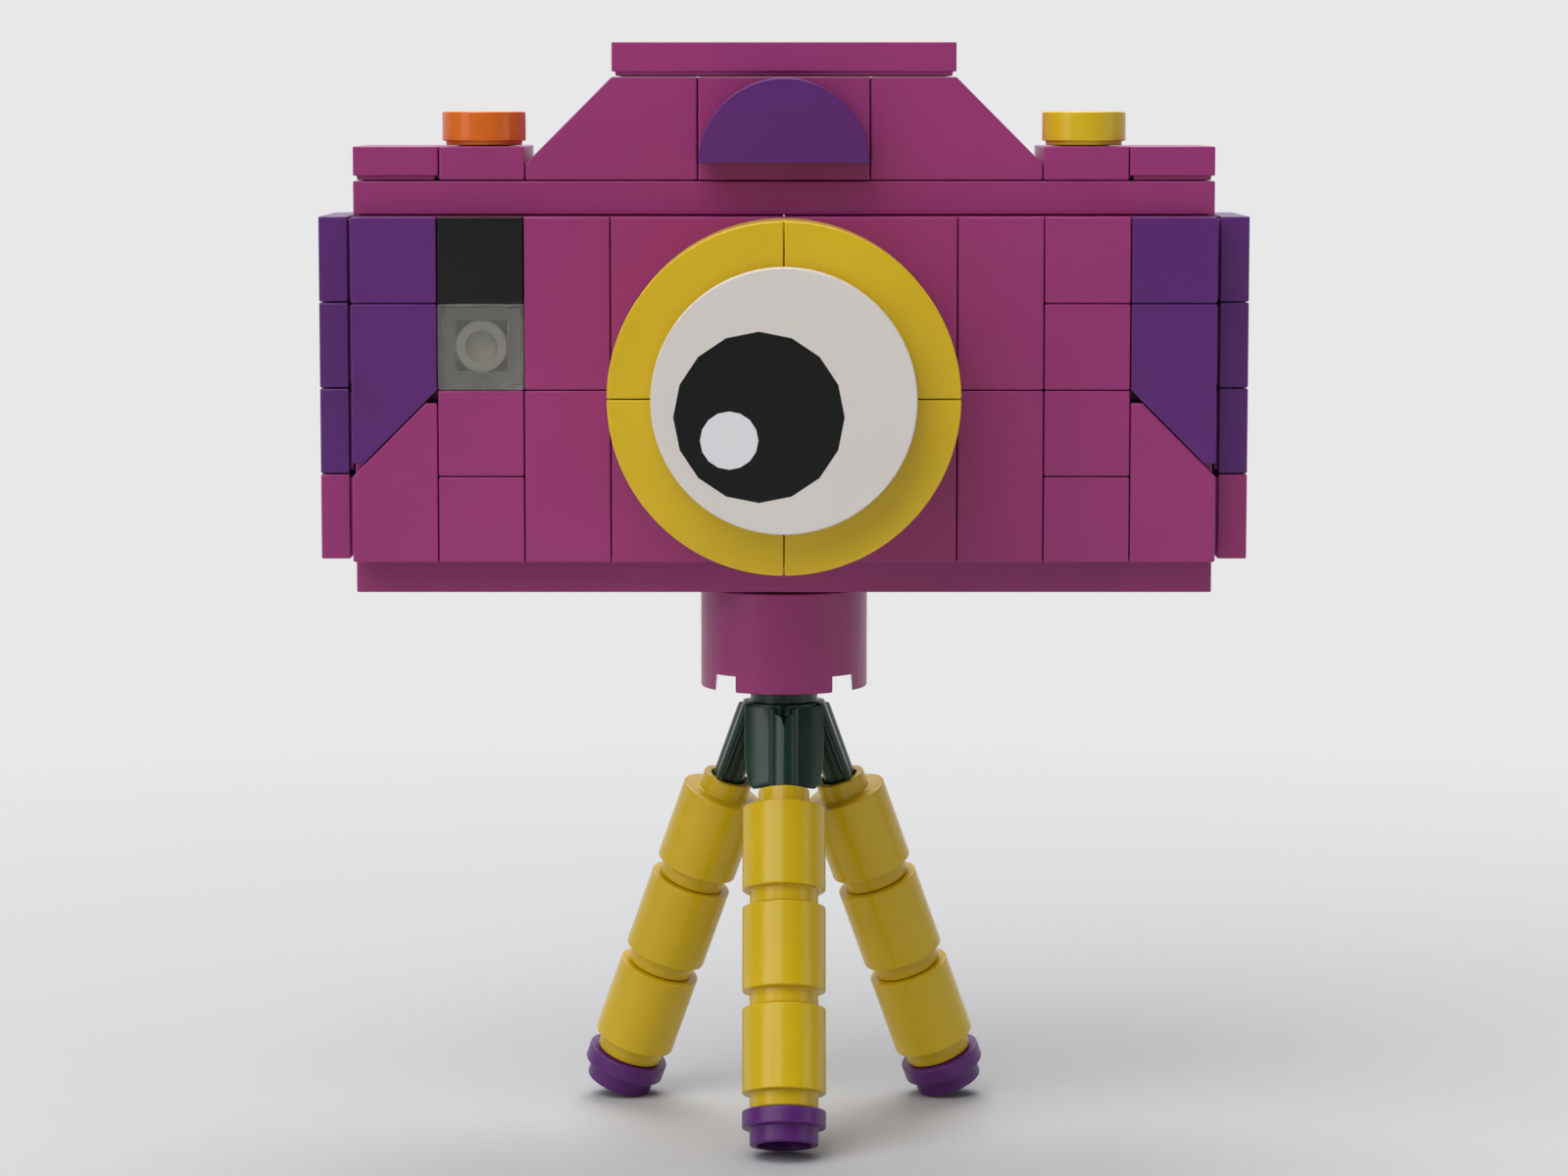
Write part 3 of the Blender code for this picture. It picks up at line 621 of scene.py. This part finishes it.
def build_deck():
    for side, word, control, look in ((-1, "left", "shutter_button", "orange"),
                                      (1, "right", "mode_dial", "yellow")):
        end = spot(side * 4.5 * PITCH, CORE_MID, DECK_Z + PLATE)
        add_tile("deck_tile_" + word, grid_outline(1, 2), "magenta", end)
        plate = loft(grid_outline(1, 2), block_levels(PLATE, SOCKET))
        plate = carved(plate, [("UNION", stud(0.0, y)) for y in (-PITCH / 2, PITCH / 2)])
        add_piece("deck_plate_%s_moulded" % word, plate, spot(side * BUTTON_X, CORE_MID, DECK_Z + PLATE),
                  "magenta", "camera_body", "deck_plate_" + word)
        top = spot(side * BUTTON_X, FRONT_STUD_Y, DECK_Z + 2 * PLATE)
        add_piece(control + "_moulded", round_tile(PITCH / 2 - PLAY), top, look, control, control)


def build_hump():
    deep = DEPTH - 2 * PLAY
    base = DECK_Z + SEAT
    lip = DECK_Z + LIP_H
    outer = 3 * PITCH - GAP
    inner = PITCH + GAP
    crest = outer - (HUMP_Z - lip)
    for side, word in ((-1, "left"), (1, "right")):
        profile = [(inner, base), (outer, base), (outer, lip), (crest, HUMP_Z), (inner, HUMP_Z)]
        if side < 0:
            profile = [(-x, z) for x, z in reversed(profile)]
        slope = loft(polygon(profile), solid_levels(0.0, -deep))
        place = spot(0.0, CORE_FRONT + PLAY, 0.0, FACE_FRONT)
        add_piece("slope_%s_moulded" % word, slope, place, "magenta", "camera_body", "slope_" + word)

    brick = loft(rectangle(2 * PITCH - 2 * GAP, deep), block_levels(BRICK, BRICK - 2 * SOCKET))
    add_piece("hump_brick_moulded", brick, spot(0.0, CORE_MID, HUMP_Z), "magenta", "camera_body",
              "hump_brick")

    hood = half_disc(PITCH - PLAY, HOOD_STEPS)
    add_tile("hood_tile", hood, "purple", spot(0.0, 0.0, HUMP_Z - PITCH, FACE_FRONT), FLAT_TILE)
    add_tile("hump_tile", grid_outline(4, 2), "magenta", spot(0.0, CORE_MID, HUMP_Z + PLATE))


# The lens: drum, quarter ring tiles and the eye disc with its print

def build_lens():
    outer = 2 * PITCH - PLAY
    boss = PITCH - PLAY
    base = SEAT - BRICK
    drum = eased([(boss - END_IN, PLATE), (boss, PLATE), (boss, 0.0), (outer, 0.0), (outer, base),
                  (DRUM_RECESS, base), (DRUM_RECESS, base + SOCKET)])
    place = spot(0.0, -BRICK, LENS_Z, FACE_FRONT)
    add_piece("lens_barrel_moulded", spun(drum, LENS_SIDES), place, "yellow", "camera_body", "lens_barrel")

    quarter = quarter_ring(PITCH + PLAY, outer, LENS_SIDES // 4)
    for index in range(4):
        node = "ring_tile_%d" % (index + 1)
        turn = Euler((math.pi / 2, index * math.pi / 2, 0.0))
        add_tile(node, quarter, "yellow", spot(0.0, -BRICK - PLATE, LENS_Z, turn), FLAT_TILE)

    disc = round_tile(1.5 * PITCH - PLAY)
    face = spot(0.0, LENS_FRONT + PRINT_H, LENS_Z, FACE_FRONT)
    add_piece("eye_disc_moulded", disc, face, "white", "eye_disc", "eye_disc")
    for name, look, radius, right, up, share in EYE_PRINT:
        lift = share * PRINT_H
        flat = radius - PRINT_RIM
        levels = eased([(flat, lift), (radius, lift), (radius, -PRINT_SUNK), (flat, -PRINT_SUNK)],
                       PRINT_EDGE)
        dot = moved(spun(levels, PRINT_SIDES), Matrix.Rotation(math.pi / 2, 4, "Z"))
        add_piece(name, dot, face @ Matrix.Translation((right, up, 0.0)), look, "eye_disc")


# The neck, the hub, the legs and the feet

def build_neck():
    top = -PLATE - SEAT
    outer = NECK_R - PLAY
    inner = STUD_R + PLAY
    roof = top - LIP_H
    levels = eased([(outer - END_IN, top), (outer, top), (outer, NECK_BASE + NOTCH_H + NOTCH_BAND),
                    (outer, NECK_BASE), (outer - WALL, NECK_BASE), (outer - WALL, roof), (LIP_R, roof),
                    (LIP_R, NECK_BASE), (inner, NECK_BASE), (inner, roof)])
    middle = Vector((0.0, (NOTCH_IN + NOTCH_OUT) / 2, NECK_BASE))
    sides = [Vector((0.0, NOTCH_H)), Vector((0.0, -SINK))]
    cuts = []
    for quarter in range(4):
        notch = loft(rectangle(2 * NECK_R, NOTCH_OUT - NOTCH_IN), sides, NOTCH_CORNER)
        turn = Matrix.Rotation(quarter * math.pi / 2, 4, "Z")
        cuts.append(("DIFFERENCE", moved(notch, turn @ Matrix.Translation(middle))))
    neck = carved(spun(levels, LENS_SIDES), cuts)
    add_piece("neck_moulded", neck, spot(0.0, CORE_MID, 0.0), "magenta", "camera_body", "neck")


def leg_frame(degrees):
    """A leg's own frame: z up along the leg, y inward, origin at the middle of its first brick."""
    spoke = Matrix.Rotation(math.radians(degrees), 4, "Z")
    lean = Matrix.Translation((0.0, -LEG_REACH, LEG_Z)) @ Matrix.Rotation(-LEG_TILT, 4, "X")
    return spoke @ lean


def blade_ring(half_width, thick, height):
    """The cross-section of a bowed blade at one height, with round edges."""
    middle = BLADE_BOW - BLADE_THICK / 2
    reach = math.asin((half_width - thick / 2) / middle)
    round_off = thick / 2
    ring = []
    for side in (1, -1):
        for step in range(BLADE_STEPS + 1):
            angle = side * reach * (2 * step / BLADE_STEPS - 1)
            ring.append((angle, middle + side * round_off))
        for step in range(1, EDGE_STEPS):
            turn = math.pi * step / EDGE_STEPS
            ring.append((side * (reach + round_off * math.sin(turn) / middle),
                         middle + side * round_off * math.cos(turn)))
    centre = BLADE_BOW - BLADE_OUT
    return [(r * math.sin(a), centre - r * math.cos(a), height) for a, r in ring]


def leaf_blade(half_width):
    """A thin bowed leaf blade, drawn in and blunted at its lower end."""
    rings = []
    for rise, blunt in BLADE_RISES:
        height = BLADE_LOW + rise
        limits = [width + slant * (height - level) for width, level, slant in BLADE_SIDES]
        rings.append(blade_ring(min(limits + [half_width]), BLADE_THICK * blunt, height))
    return skin(rings[::-1])


def cut_top(bm, degrees, fall):
    """Sets a body drawn in a leg's frame in place and cuts its top below the disc, falling outward."""
    moved(bm, leg_frame(degrees))
    spoke = Matrix.Rotation(math.radians(degrees), 3, "Z")
    rim = spoke @ Vector((0.0, PLAY - PITCH / 2, BLADE_TOP))
    normal = spoke @ Vector((0.0, -fall, 1.0)).normalized()
    geom = bm.verts[:] + bm.edges[:] + bm.faces[:]
    bmesh.ops.bisect_plane(bm, geom=geom, plane_co=rim, plane_no=normal, clear_outer=True, dist=1e-6)
    bmesh.ops.holes_fill(bm, edges=[e for e in bm.edges if e.is_boundary], sides=0)
    return bm


def valley_funnel(degrees):
    """A funnel with a fine point, set into the outer side of a bar at its upper end."""
    funnel = spun([Vector(p) for p in VALLEY], STUD_SIDES)
    return moved(funnel, leg_frame(degrees) @ Matrix.Translation((0.0, PLAY - BAR_R, 0.0)))


def build_hub():
    hub_r = PITCH / 2 - PLAY
    spigot = STUD_R - SPIGOT_PLAY
    seat = NECK_BASE - SEAT
    base = HUB_TOP - LIP_H
    levels = eased([(CAP_R, SPIGOT_TOP), (spigot, SPIGOT_TOP), (spigot, seat), (LIP_R, seat),
                    (LIP_R, HUB_TOP), (hub_r, HUB_TOP), (hub_r, base), (STUD_R, base),
                    (STUD_R, base - STUD_H), (CAP_R, base - STUD_H)], HUB_EDGE)
    bar_side = eased([(BAR_CAP, BLADE_HIGH), (BAR_R, BLADE_HIGH), (BAR_R, BAR_END), (BAR_CAP, BAR_END)])
    tools = []
    for index, degrees in enumerate(LEG_TURNS.values()):
        fall = BLADE_FALL + BLADE_FALL_STEP * index
        blade = leaf_blade(BLADE_HALF + BLADE_HALF_STEP * index)
        tools.append(("UNION", cut_top(blade, degrees, fall)))
        tools.append(("UNION", cut_top(spun(bar_side, STUD_SIDES), degrees, 2 * fall)))
        tools.append(("DIFFERENCE", valley_funnel(degrees)))
    hub = carved(spun(levels, HUB_SIDES), tools)
    add_piece("tripod_hub_moulded", hub, spot(0.0, CORE_MID, 0.0), "green", "tripod_hub", "tripod_hub")


def build_legs():
    outer = PITCH / 2 - PLAY
    inner = STUD_R + PLAY
    top = BODY_H / 2
    base = SEAT - top - LIP_H
    brick = eased([(HOLE_R, top + STUD_H), (STUD_R, top + STUD_H), (STUD_R, top), (outer, top),
                   (outer, -top), (LIP_R, -top), (LIP_R, base), (inner, base), (inner, top - LIP_H),
                   (HOLE_R, top - LIP_H)], EDGE, True)
    foot = eased([(CAP_R, STUD_H), (STUD_R, STUD_H), (STUD_R, 0.0), (outer, 0.0), (outer, -LIP_H),
                  (LIP_R, -LIP_H), (LIP_R, -PLATE), (inner, -PLATE), (inner, SOCKET - PLATE)])
    foot_top = -(top + 2 * BRICK + LIP_H)
    for word, degrees in LEG_TURNS.items():
        place = spot(0.0, CORE_MID, 0.0) @ leg_frame(degrees)
        body = "leg_" + word
        for index in range(3):
            node = "leg_%s_%d" % (word, index + 1)
            add_piece(node + "_moulded", spun(brick, ROUND_SIDES, True),
                      place @ Matrix.Translation((0.0, 0.0, -index * BRICK)), "yellow", body, node)
        add_piece("foot_%s_moulded" % word, spun(foot, ROUND_SIDES),
                  place @ Matrix.Translation((0.0, 0.0, foot_top)), "purple", body, "foot_" + word)


# The floor and the backdrop, in metres and as linear tones

BACKDROP = linear(232 / 255.0)
FLOOR_TONE = (0.56, 0.568, 0.58, 1.0)
FLOOR_HALF = 4.0
FLOOR_DEPTH = 0.01
FLOOR_NEAR = 0.03
FLOOR_FAR = 0.30
GLOW = 0.85
AMBIENT = 0.08
FRONT_GLOSS = 0.12
FULL_GLOSS_AT = 0.5

# Lamps by direction: degrees round from the front, degrees up, size and distance in metres, watts
LAMPS = {"key": (-36.0, 50.0, 1.00, 1.1, 7.8),
         "side": (-52.0, 14.0, 0.45, 1.0, 1.2),
         "fill": (72.0, 12.0, 0.45, 1.0, 0.6),
         "rear": (180.0, 60.0, 0.60, 1.0, 5.4),
         "top": (0.0, 85.0, 1.60, 1.2, 8.0)}
LAMP_AIM = Vector((0.0, 0.0, 0.055))

# The camera, from the body's zero point in millimetres, looking down by an angle in degrees
CAMERA_PLACE = Vector((0.0, -416.7, 42.4))
CAMERA_DIP = 6.13
FOCAL_LENGTH = 103.68
SENSOR_WIDTH = 36.0


def add_math(tree, operation, first, second):
    """A math node fed by two (node, output) pairs."""
    node = tree.nodes.new("ShaderNodeMath")
    node.operation = operation
    for socket, (source, output) in enumerate((first, second)):
        wire(tree, source, output, node, socket)
    return node


def make_floor_material():
    """Pale floor near the object, melting into the backdrop's tone further off."""
    material = bpy.data.materials.new("floor")
    material.use_nodes = True
    tree = material.node_tree
    shader = tree.nodes["Principled BSDF"]
    shader.inputs["Roughness"].default_value = 0.8
    shader.inputs["Specular IOR Level"].default_value = 0.1
    shader.inputs["Base Color"].default_value = FLOOR_TONE

    # Light cast on the object is a little less than the tone shown to camera, gloss and glass
    path = tree.nodes.new("ShaderNodeLightPath")
    shown = add_math(tree, "MAXIMUM", (path, "Is Camera Ray"), (path, "Is Glossy Ray"))
    shown = add_math(tree, "MAXIMUM", (shown, "Value"), (path, "Is Transmission Ray"))
    level = tree.nodes.new("ShaderNodeMapRange")
    level.inputs["To Min"].default_value = GLOW
    wire(tree, shown, "Value", level, "Value")
    glow = tree.nodes.new("ShaderNodeEmission")
    glow.inputs["Color"].default_value = (BACKDROP, BACKDROP, BACKDROP, 1.0)
    wire(tree, level, "Result", glow, "Strength")

    coord = tree.nodes.new("ShaderNodeTexCoord")
    length = tree.nodes.new("ShaderNodeVectorMath")
    length.operation = "LENGTH"
    wire(tree, coord, "Object", length, 0)
    band = tree.nodes.new("ShaderNodeMapRange")
    band.interpolation_type = "SMOOTHSTEP"
    band.inputs["From Min"].default_value = FLOOR_NEAR
    band.inputs["From Max"].default_value = FLOOR_FAR
    wire(tree, length, "Value", band, "Value")
    mix = tree.nodes.new("ShaderNodeMixShader")
    wire(tree, band, "Result", mix, 0)
    wire(tree, shader, "BSDF", mix, 1)
    wire(tree, glow, "Emission", mix, 2)
    wire(tree, mix, "Shader", tree.nodes["Material Output"], "Surface")
    return material


def build_floor():
    half = FLOOR_HALF
    corners = [(-half, -half), (half, -half), (half, half), (-half, half)]
    floor = to_object(skin([[(x, y, z) for x, y in corners] for z in (0.0, -FLOOR_DEPTH)]), "floor")
    floor.data.materials.append(make_floor_material())


def build_world():
    """The pale backdrop: camera and glass see it in full, gloss sees more of it behind than in front."""
    world = bpy.data.worlds.new("studio")
    world.use_nodes = True
    tree = world.node_tree
    ambient = tree.nodes["Background"]
    ambient.inputs["Color"].default_value = (1.0, 1.0, 1.0, 1.0)
    ambient.inputs["Strength"].default_value = AMBIENT
    backdrop = tree.nodes.new("ShaderNodeBackground")
    backdrop.inputs["Color"].default_value = (BACKDROP, BACKDROP, BACKDROP, 1.0)

    coord = tree.nodes.new("ShaderNodeTexCoord")
    split = tree.nodes.new("ShaderNodeSeparateXYZ")
    wire(tree, coord, "Generated", split, "Vector")
    behind = tree.nodes.new("ShaderNodeMapRange")
    behind.interpolation_type = "SMOOTHSTEP"
    behind.inputs["From Max"].default_value = FULL_GLOSS_AT
    behind.inputs["To Min"].default_value = FRONT_GLOSS
    wire(tree, split, "Y", behind, "Value")

    path = tree.nodes.new("ShaderNodeLightPath")
    gloss = add_math(tree, "MULTIPLY", (path, "Is Glossy Ray"), (behind, "Result"))
    shown = add_math(tree, "MAXIMUM", (path, "Is Camera Ray"), (path, "Is Transmission Ray"))
    shown = add_math(tree, "MAXIMUM", (shown, "Value"), (gloss, "Value"))
    mix = tree.nodes.new("ShaderNodeMixShader")
    wire(tree, shown, "Value", mix, 0)
    wire(tree, ambient, "Background", mix, 1)
    wire(tree, backdrop, "Background", mix, 2)
    wire(tree, mix, "Shader", tree.nodes["World Output"], "Surface")
    bpy.context.scene.world = world


def build_lamps():
    for name, (turn, rise, size, distance, power) in LAMPS.items():
        lamp = bpy.data.lights.new(name, "AREA")
        lamp.shape = "SQUARE"
        lamp.size = size
        lamp.energy = power
        turn, rise = math.radians(turn), math.radians(rise)
        away = Vector((math.sin(turn) * math.cos(rise), -math.cos(turn) * math.cos(rise), math.sin(rise)))
        item = bpy.data.objects.new(name, lamp)
        item.location = LAMP_AIM + away * distance
        item.rotation_euler = (-away).to_track_quat("-Z", "Y").to_euler()
        item.visible_camera = False
        bpy.context.scene.collection.objects.link(item)


def build_camera():
    lens = bpy.data.cameras.new("camera")
    lens.sensor_width = SENSOR_WIDTH
    lens.lens = FOCAL_LENGTH
    lens.clip_start = 0.01
    item = bpy.data.objects.new("camera", lens)
    item.location = (ZERO + CAMERA_PLACE) * MM
    item.rotation_euler = (math.radians(90.0 - CAMERA_DIP), 0.0, 0.0)
    bpy.context.scene.collection.objects.link(item)
    bpy.context.scene.camera = item


build_core()
build_flash()
build_plates()
build_front_tiles()
build_flank_tiles()
build_deck()
build_hump()
build_lens()
build_neck()
build_hub()
build_legs()
build_floor()
build_world()
build_lamps()
build_camera()
bpy.context.scene.view_settings.view_transform = "Standard"
